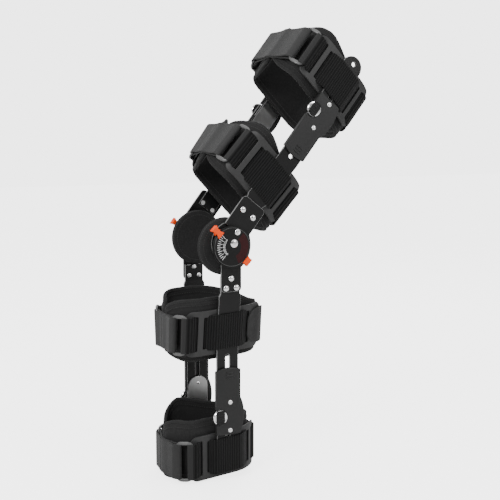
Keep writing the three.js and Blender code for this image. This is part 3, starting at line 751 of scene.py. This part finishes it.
class Wall:
    """The plan is sampled once; places between are read by interpolation."""

    def __init__(self, cuff):
        self.cuff, self.limb = cuff, LIMBS[cuff["limb"]]
        corner, nose, back = (cuff[key] for key in ("corner", "nose", "back"))
        width = self.width = float(self.out(cuff["strap"]))
        slant = math.atan2(nose - corner, width)
        turn = math.degrees(slant) - 90
        setback = FRONT_ROUND * math.tan(math.radians(-turn) / 2)
        line = np.concatenate([
            arc(0, FRONT_ROUND / math.cos(slant) - nose, FRONT_ROUND, -90, turn, 20),
            arc(width - FRONT_ROUND, setback - corner, FRONT_ROUND, turn, 0, 40),
            arc(width - BACK_ROUND, back - BACK_ROUND, BACK_ROUND, 0, 90, 60), [[0, back]]])
        reach = reaches(line)
        self.total = reach[-1]
        behind = back - BACK_ROUND + BACK_ROUND * math.pi / 2 + width - BACK_ROUND
        self.place = self.total - behind + cuff["shift"]
        self.at = np.linspace(0, self.total, 1500)
        self.x, self.y = (np.interp(self.at, reach, column) for column in line.T)
        self.dx, self.dy = self.smooth_slope(self.x, "even"), self.smooth_slope(self.y, "odd")

    def smooth_slope(self, values, kind):
        """The slope along the plan as a moving average, mirrored at both ends."""
        slope = np.pad(np.gradient(values, self.at), SMOOTH // 2, "reflect", reflect_type=kind)
        return np.convolve(slope, np.ones(SMOOTH) / SMOOTH, "valid")

    def out(self, height):
        """Distance of the wall under the bar from the middle of the leg."""
        limb, (low, high) = self.limb, self.limb["bend"]
        if self.cuff["slides"]:
            return limb["out_x"] - SLIDE_DEPTH + 0 * np.asarray(height, float)
        return limb["bar_x"] + (limb["out_x"] - limb["bar_x"]) / (high - low) * (np.asarray(height) - low) - BAR_DEPTH

    def point(self, along, level, height):
        """Metres from (along, level, height): out along the plan's normal, tilted and spread with the limb."""
        along, level, height = np.broadcast_arrays(*(np.asarray(v, float) for v in (along, level, height)))
        along = np.where(along > self.total, along - 2 * self.total, along)
        x, y, dx, dy = (np.interp(np.abs(along), self.at, a) for a in (self.x, self.y, self.dx, self.dy))
        y = y - dx * level
        reach = height - self.cuff["tilt"] * y
        x = np.where(along < 0, -1, 1) * (x * self.out(reach) / self.width + dy * level)
        return in_place(self.cuff["limb"], np.stack([x, y, self.limb["up"] * reach], -1))


WALLS = {name: Wall(cuff) for name, cuff in CUFFS.items()}
print("lengths round the walls", {name: round(2 * wall.total) for name, wall in WALLS.items()})

# %% [markdown]
# ## Plates and rings
# A moulded plate with three windows spreads each strap's pull, and a ring in front of it joins the webbing to the
# front strap. Both are flat parts sliced every few millimetres and laid on the wall.

# %% Plates and rings
RING_LEVEL = 6.5
WINDOWS = [rounded(a, b, -half, half, 1.2, 4) for a, b, half in (
    (-50, -43, 22.7), (-36, 27, 20.8), (33, 40, 21.6))]
SHELLS = {
    "plate": (flat_part([rounded(-58, 46, -29.5, 29.5, 9, 10), *WINDOWS], 2.5, 0.7, np.arange(-57, 46, 3.0)),
              1.35, PLATE),
    "ring": (flat_part([rounded(-73.5, -54.5, -26.5, 26.5, 7, 10), rounded(-69.5, -58.5, -22.0, 22.0, 1.2, 4)],
                       3.0, 1.2, np.arange(-72, -55, 2.5)), RING_LEVEL, RING),
}
for name, wall in WALLS.items():
    for side_name, side in SIDES.items():
        for part, ((points, faces), level, finish) in SHELLS.items():
            along, height, deep = points.T
            made = wall.point(side * (wall.place + along), level + deep, wall.cuff["strap"] + height)
            piece(f"{name}_{part}_shell_{side_name}", made, faces, finish, wall.cuff["body"],
                  [f"{name}_{part}_{side_name}"], sharp=20)

# %% [markdown]
# ## Straps
# A strap is a rounded profile carried along a route. The route is a short list of places and levels: round the
# ring, through the plate, over the bar. Cutting its corners three times makes the sharp list a soft line,
# which is how thick webbing bends, and never leaves the space between the listed points.

# %% Strap helpers
WEB_HALF, WEB_THICK, WEB_GAP = 23.0, 1.7, 0.38
RING_FRONT, RING_REAR = -71.5, -56.5


def softened(points, rounds=3):
    """Each round replaces a corner by two points a quarter of the way along its two sides."""
    line = np.asarray(points, float)
    for _ in range(rounds):
        first, last = 0.75 * line[:-1] + 0.25 * line[1:], 0.25 * line[:-1] + 0.75 * line[1:]
        line = np.concatenate([line[:1], np.stack([first, last], 1).reshape(-1, 2), line[-1:]])
    return line


def evenly(line, step):
    """The same line with points at even steps along its length."""
    reach = reaches(line)
    at = np.linspace(0, reach[-1], max(2, int(reach[-1] / step)))
    return np.stack([np.interp(at, reach, column) for column in line.T], -1), at


def strap_profile(half, thick):
    """A flat loop with half round selvedges, as (offset, height)."""
    turn = np.linspace(-math.pi / 2, math.pi / 2, 7)
    top = np.stack([-thick / 2 * np.sin(turn), half - thick / 2 + thick / 2 * np.cos(turn)], -1)
    flat = np.linspace(0.9, -0.9, 9)[:, None] * (0, half) - (thick / 2, 0)
    return np.concatenate([top, flat, -top, -flat])


def strap_on(name, part, points, finish, node, step=1.1):
    """The profile carried along the route on a cuff's wall; its flat length is measured on the way."""
    wall = WALLS[name]
    route, reach = evenly(softened(points), step)
    forward = np.gradient(route, axis=0)
    forward /= np.hypot(*forward.T)[:, None]
    offset, height = strap_profile(WEB_HALF, WEB_THICK).T
    skin = wall.point(route[:, :1] - forward[:, 1:] * offset, route[:, 1:] + forward[:, :1] * offset,
                      wall.cuff["strap"] + height)
    end = np.minimum(reach, reach[-1] - reach)
    lay = np.stack(np.broadcast_arrays(reach[:, None], height, end[:, None]), -1) * MM
    made = piece(f"{name}_{part}", skin, grid_faces(*skin.shape[:2], True, True), finish, wall.cuff["body"],
                 [f"{name}_{node}"], lay.reshape(-1, 3), sharp=60)


def round_ring(place, way):
    """Round one bar of a ring from the outer layer to the inner one; way points to the opening."""
    deep, wide = 1.5 + WEB_GAP + WEB_THICK / 2, 2 + WEB_GAP + WEB_THICK / 2
    turn = np.array([(-0.9, 1), (0.5, 1), (0.9, 0.82), (1, 0.45), (1, -0.45), (0.9, -0.82), (0.5, -1), (-0.4, -1)])
    return turn * (way * wide, deep) + (place, RING_LEVEL)


print("strap profile points", len(strap_profile(WEB_HALF, WEB_THICK)))

# %% [markdown]
# The webbing starts in the lateral ring, dips through the plate's slot, rises over the bar, dips again, comes out
# over the plate's rear end and goes round the back to the other side. It lies as cut, without stretch, so its
# flat length is the route's.

# %% Webbing
PLATE_TOP, SLIDE_LIFT = 2.6, 2.4
for name, wall in WALLS.items():
    shift, slides = wall.cuff["shift"], wall.cuff["slides"]
    over = PLATE_TOP + GAP + BAR_THICK + (SLIDE_LIFT if slides else 0) + GAP + WEB_THICK / 2
    front, rear = -BAR_HALF - shift, BAR_HALF - shift
    weave = np.concatenate([round_ring(RING_REAR, -1)[::-1], [
        (-51.2, 7), (-48.6, 4.6), (-46.8, 2.1), (-45.1, 0), (-43.5, -1.1), (-42.7, -1.3), (-36.5, -1.3),
        (-34.8, -1.15), (front - 3.5, over - 0.5), (front - 0.5, over), (rear + 0.5, over),
        (rear + 3.5, over - 0.5), (25.8, -1.15), (27.4, -1.3), (33.6, -1.3), (39.6, 4.25), (46.8, 4.25),
        (52, -1.3)]]) + (wall.place, 0)
    far = (weave * (-1, 1) + (2 * wall.total, 0))[::-1]
    strap_on(name, "ribbed_webbing", np.concatenate([weave, far]), WEBBING, "webbing")

# %% [markdown]
# On the upper calf the picture shows the rounded end of a strap, which lies over the plate's rear end.

# %% Strap end
wall = WALLS["calf_upper"]
points, faces = flat_part([rounded(24, 62, -23.5, 23.5, 16)], 1.6, 0.5, np.arange(26, 62, 2.0))
along, height, deep = points.T
level = np.interp(along, (24, 33, 38, 47, 56, 62), (3.7, 3.7, 6.0, 6.0, 0.9, 0.7))
skin = wall.point(wall.place + along, level + deep, wall.cuff["strap"] + height)
made = piece("calf_upper_strap_end", skin, faces, STRAP, "calf",
             lay=np.stack([along, height, 0 * along], -1) * MM)
print("strap end faces", len(faces))

# %% [markdown]
# The front strap is one length folded through both rings: its two ends meet under the nose on the medial half,
# so the strap is double all the way. As a pulled strap does, it runs straight from the ring and bends evenly over
# the nose, which a parabola that ends in a straight line gives.

# %% Front straps
NOSE_SHARE, BEND_SHARE, MEET_SHARE = 0.14, 0.6, 0.12


def pulled(reach, base, top):
    """Places and levels from the ring to the nose: straight, then a parabola over the last part."""
    along = np.linspace(1, NOSE_SHARE, 30) * reach
    bend = BEND_SHARE * reach
    slope = (top - base) / (reach - bend / 2)
    return np.stack([along, base + slope * np.where(along < bend, along ** 2 / (2 * bend), along - bend / 2)], -1)


OUTER, INNER, MIRROR = 2.95, 0.95, (-1, 1)
for name, wall in WALLS.items():
    place = wall.place + RING_FRONT
    near, meet = round_ring(place, 1), -place * MEET_SHARE
    outer, inner = (pulled(near[0, 0] - 2, base, top) for base, top in ((OUTER, near[0, 1]), (INNER, near[-1, 1])))
    points = np.concatenate([[(meet, OUTER)], outer[::-1], near, inner, (inner * MIRROR)[::-1],
                             (near * MIRROR)[::-1], outer * MIRROR, [(meet - 1.5, OUTER)]])
    strap_on(name, "front_strap_band", points, STRAP, "front_strap")

# %% [markdown]
# ## Liners
# A liner is a foam pad in velour, open at the front. Its thickness is a function of the distance from its rim:
# a round binding, a groove, a sewn band, a second groove, and then full foam. That distance is measured on the
# flat cut, so the bands follow the rounded front ends as they do on the real one. Towards both front ends the pad
# leans out to the strap.
#
# `RIM` lists distance and half thickness. In `LINER_CUT` each front end has its gap from the nose, the lengths of
# its rounding at the lower and upper edge, the shares of the height left at its tip, and its roundness. `dips`
# are the shares of both edges at the back, `rise` says where they come up to full height, and `peak` how much
# the lower edge stands up again before the far end.

# %% Liners
RIM = np.array([(0, 0), (0.4, 1.2), (1.1, 2.0), (2.1, 2.45), (3.2, 2.2), (4.0, 1.5), (4.5, 1.35), (5.2, 1.9),
                (6.4, 2.75), (7.8, 2.95), (9.2, 2.6), (10.2, 1.95), (10.8, 1.85), (11.6, 2.4), (13.5, 3.3),
                (16.5, 3.85), (20, 4.0)])
LINER_CUT = table(
    "near far dips rise peak",
    ("thigh_upper", (4, (80, 80), (0.50, 0.50), 1.6), (2, (36, 80), (0.68, 0.52), 2.2), (1.0, 0.70), (90, 150), 0),
    ("thigh_lower", (9, (55, 55), (0.60, 0.60), 1.7), (-6, (24, 85), (0.95, 0.52), 2.2), (1.0, 0.60), (80, 140), 0),
    ("calf_upper", (-5, (56, 56), (0.54, 0.54), 2.0), (8, (50, 50), (0.52, 0.52), 2.0), (0.6, 1.0), (0, 105), 0),
    ("calf_lower", (-12, (40, 40), (0.60, 1.0), 2.0), (16, (42, 42), (0.58, 0.9), 1.15), (0.8, 1.0), (0, 105), 0.27))
LEAN, LEAN_REACH, CROWDING = 4.2, 45, 0.154


def eased(t):
    """From 0 to 1 with level ends."""
    t = np.clip(t, 0, 1)
    return t * t * (3 - 2 * t)


def liner_shares(cut, total, along, first, last):
    """Shares of the full height below and above the strap: superellipse corners in front, a smooth dip behind."""
    start, stop = cut["rise"]
    up = eased((np.abs(along - total) - start) / (stop - start))
    shares = [dip + (1 - dip) * up for dip in cut["dips"]]
    for (_, lengths, tips, power), distance in ((cut["near"], along - first), (cut["far"], last - along)):
        for k, (length, tip) in enumerate(zip(lengths, tips)):
            bow = 1 - (1 - np.clip(distance / length, 0, 1)) ** power
            shares[k] = np.minimum(shares[k], tip + (1 - tip) * bow ** (1 / power))
    return shares[0] * (1 + cut["peak"] * eased((100 - (last - along)) / 70)), shares[1]


def rim_distance(along, height, edge):
    """Distance of every place on the flat cut to its outline, and where on the outline that is."""
    gap = np.hypot(along[..., None] - edge[:, 0], height[..., None] - edge[:, 1])
    return gap.min(-1), reaches(edge)[gap.argmin(-1)]


def liner(name, wall, columns=190, rows=36):
    """Outer and inner face of the pad as one round grid; the two meet in the rim."""
    cuff, cut = wall.cuff, LINER_CUT[name]
    first, last = cut["near"][0], 2 * wall.total - cut["far"][0]
    t = np.linspace(0, 1, columns)
    along = first + (last - first) * (t - CROWDING * np.sin(2 * math.pi * t) / math.pi)
    below, above = liner_shares(cut, wall.total, along, first, last)
    low = cuff["strap"] - (cuff["strap"] - cuff["low"]) * below
    high = cuff["strap"] + (cuff["high"] - cuff["strap"]) * above
    v = (1 - np.cos(np.linspace(0, math.pi, rows))) / 2
    height = low[:, None] + (high - low)[:, None] * v
    place = np.repeat(along[:, None], rows, 1)
    left, right = ([[a, h] for h in np.linspace(low[k], high[k], 40)] for a, k in ((first, 0), (last, -1)))
    edge = np.concatenate([np.stack([along, low], -1), right, np.stack([along, high], -1)[::-1], left[::-1]])
    deep, rim_at = rim_distance(place, height, evenly(edge, 1.0)[0])
    deep[[0, -1], :], deep[:, [0, -1]] = 0, 0
    half = np.interp(deep, *RIM.T)
    lean = LEAN * (1 - eased(np.minimum(place - first, last - place) / LEAN_REACH))
    half = np.concatenate([half, -half[:, ::-1]], 1)
    place, lean, height, rim_at, deep = (
        np.concatenate([face, face[:, ::-1]], 1) for face in (place, lean, height, rim_at, deep))
    skin = wall.point(place, lean + PAD_LEVEL + half, height)
    lay = np.stack([rim_at, deep, half + PAD_LEVEL], -1) * MM
    return piece(f"{name}_padded_liner", skin, grid_faces(columns, 2 * rows, True), VELOUR, cuff["body"],
                 [f"{name}_liner"], lay.reshape(-1, 3), sharp=180)


LINERS = {name: liner(name, wall) for name, wall in WALLS.items()}
print("liners", {name: len(made.data.polygons) for name, made in LINERS.items()})

# %% [markdown]
# Foam pushes its cover outwards between the seams. A short cloth simulation under pressure and without gravity
# does the same: the sewn bands and the face on the plates are held, the rest swells, and the result is kept in
# the mesh with no modifier left.

# %% Cloth simulation
FRAMES, PRESSURE, SEWN, LINER_MOST = 20, 4.0, 0.0115, 0.003


def swollen(made, held, most):
    """Run the cloth with some points held, cap the movement in metres and keep it in the mesh."""
    scene, vertices = bpy.context.scene, made.data.vertices
    start = rows_of(vertices, "co")
    made.vertex_groups.new(name="held").add(np.flatnonzero(held).tolist(), 1.0, "REPLACE")
    cloth = made.modifiers.new("cloth", "CLOTH")
    cloth.settings.vertex_group_mass = "held"
    cloth.settings.use_pressure, cloth.settings.uniform_pressure_force = True, PRESSURE
    cloth.settings.effector_weights.gravity = 0.0
    cloth.collision_settings.use_collision = False
    cloth.point_cache.frame_start, cloth.point_cache.frame_end = 1, FRAMES
    for number in range(1, FRAMES + 1):
        scene.frame_set(number)
    evaluated = made.evaluated_get(bpy.context.evaluated_depsgraph_get())
    push = rows_of(evaluated.data.vertices, "co") - start
    made.modifiers.remove(cloth)
    made.vertex_groups.clear()
    scene.frame_set(1)
    size = np.linalg.norm(push, axis=1)
    push *= np.minimum(1, most / np.maximum(size, 1e-9))[:, None]
    vertices.foreach_set("co", (start + push).ravel())
    made.data.update()
    print(made.name, "swells", round(min(size.max(), most) / MM, 2), "mm")


for made in LINERS.values():
    _, deep, level = rows_of(made.data.attributes["lay"].data, "vector").T
    swollen(made, (deep < SEWN) | (level > PAD_LEVEL * MM), LINER_MOST)

# %% [markdown]
# ## Condyle pads
# A round foam pad sits behind each hinge, against the knee. It is a turned cushion with a seam in the middle of
# its edge, where its two velour faces are sewn together.

# %% Condyle pads
PADS = {"lateral": (-5.5, -4.5), "medial": (3.5, -4.5)}
PAD_X, PAD_HALF, PAD_ROUND, PAD_FLAT, CROWN, AROUND = 52.55, 4.35, 5.05, 31.45, 0.7, 72
PAD_WIDE, SEAM_HELD, FACE_HELD, PAD_MOST = 72, 0.002, 0.0499, 0.001
turn = np.linspace(-90, 90, 25)
groove = 0.9 * np.exp(-(turn / 9) ** 2)
edge = PAD_FLAT + PAD_ROUND * np.cos(np.radians(turn)) - groove
radius = np.r_[0, np.linspace(6, 28, 8), edge, np.linspace(28, 6, 8), 0]
crown = CROWN * (1 - (np.minimum(radius, PAD_FLAT) / PAD_FLAT) ** 2)
face = np.r_[-np.ones(9), np.sin(np.radians(turn)), np.ones(9)]
x = PAD_X + PAD_HALF * face + CROWN * np.sign(face) * (np.abs(face) > 0.99) * crown
cushion, shapes = turned(np.stack([radius, x], -1), AROUND)
seam = reaches(np.stack([radius, x], -1))
seam = np.abs(seam - seam[len(seam) // 2])[:, None]
# A third value of nought puts the whole cushion on the velour's paler outer colour, which is painted light.
lay = np.stack(np.broadcast_arrays(np.linspace(0, PAD_WIDE * math.pi, AROUND), seam, 0.0), -1) * MM
for side_name, side in SIDES.items():
    skin = in_place("calf", cushion * (side, 1, 1) + (0, *PADS[side_name]))
    made = piece(f"condyle_cushion_{side_name}", skin, shapes, VELOUR, "calf", [f"condyle_pad_{side_name}"],
                 lay.reshape(-1, 3), sharp=180)
    from_seam = rows_of(made.data.attributes["lay"].data, "vector")[:, 1]
    outward = np.abs(rows_of(made.data.vertices, "co")[:, 0])
    swollen(made, (from_seam < SEAM_HELD) | (outward > FACE_HELD), PAD_MOST)
print("condyle pads", PADS)

# %% [markdown]
# ## Floor, light and camera
# A pale floor and a pale surround keep the background as plain as a catalogue picture. Large soft lights from
# the left front and above give the black parts their long grey highlights. The surround is dark behind the camera,
# so that polished rivets show a dark middle. The camera stands where the picture was taken, a little above the
# knee and towards the outer front of the leg.

# %% Stage
SCENE = bpy.context.scene
FLOOR_HALF, low = 6.0, cad_box[0][2] - 0.002
floor_mesh = bpy.data.meshes.new("floor")
floor_mesh.from_pydata([(FLOOR_HALF * x, FLOOR_HALF * y, low) for x, y in ((-1, -1), (1, -1), (1, 1), (-1, 1))],
                       [], [(0, 1, 2, 3)])
pale = Finish("pale_floor", Roughness=0.9, Emission_Strength=3.1)
pale.set(Base_Color=pale.mixed(pale.noise(3.0), grey(0.60), grey(0.64)))
pale.set(Emission_Color=pale.mixed(pale.seen(), grey(0.0), grey(1.0)))
floor_mesh.materials.append(pale.made)
floor_object = bpy.data.objects.new("floor", floor_mesh)
SCENE.collection.objects.link(floor_object)

studio = Finish("studio", bpy.data.worlds, "Background")
across, deep, rise = studio.parts(studio.node("ShaderNodeTexCoord", {}, {}, "Generated"))
share = rise * 0.5 + 0.5
facing = across * 0.45 - deep * 0.22 + 0.5
facing = facing * facing * facing * facing
glow = studio.mixed(share * share * share, grey(0.30), grey(2.2))
glow = studio.mixed(facing * facing * 0.94, glow, grey(0.01))
studio.set(Color=studio.mixed(studio.seen(), glow, grey(3.8)))
SCENE.world = studio.made

target = Vector((0.0249, 0.0445, -0.0158))
LAMPS = {"key": ((0.8, -1.35, 1.0), 0.7, 30.0), "side": ((1.5, 0.9, 0.7), 0.6, 10.0),
         "back": ((-1.0, 0.9, 1.3), 0.8, 18.0)}


def aimed(name, data, place, sight):
    """An object at a place that looks along a line of sight."""
    made = bpy.data.objects.new(name, data)
    made.location = place
    made.rotation_euler = sight.to_track_quat("-Z", "Y").to_euler()
    SCENE.collection.objects.link(made)
    return made


for name, (place, size, power) in LAMPS.items():
    lamp = bpy.data.lights.new(name, "AREA")
    lamp.shape, lamp.size, lamp.energy = "DISK", size, power
    aimed(name, lamp, place, target - Vector(place))

azimuth, elevation, distance = math.radians(63.13), math.radians(7.39), 1.24894
towards = Vector((math.sin(azimuth) * math.cos(elevation), -math.cos(azimuth) * math.cos(elevation),
                  math.sin(elevation)))
lens = bpy.data.cameras.new("camera")
lens.lens, lens.sensor_width = 69.17, 36.0
SCENE.camera = aimed("camera", lens, target + towards * distance, -towards)
print("camera at", tuple(round(v, 3) for v in SCENE.camera.location))

# %% [markdown]
# ## Last update
# The view layer is brought up to date once more at the end. The dressed brace must stay in
# the CAD model's box.

# %% Last update
bpy.context.view_layer.update()
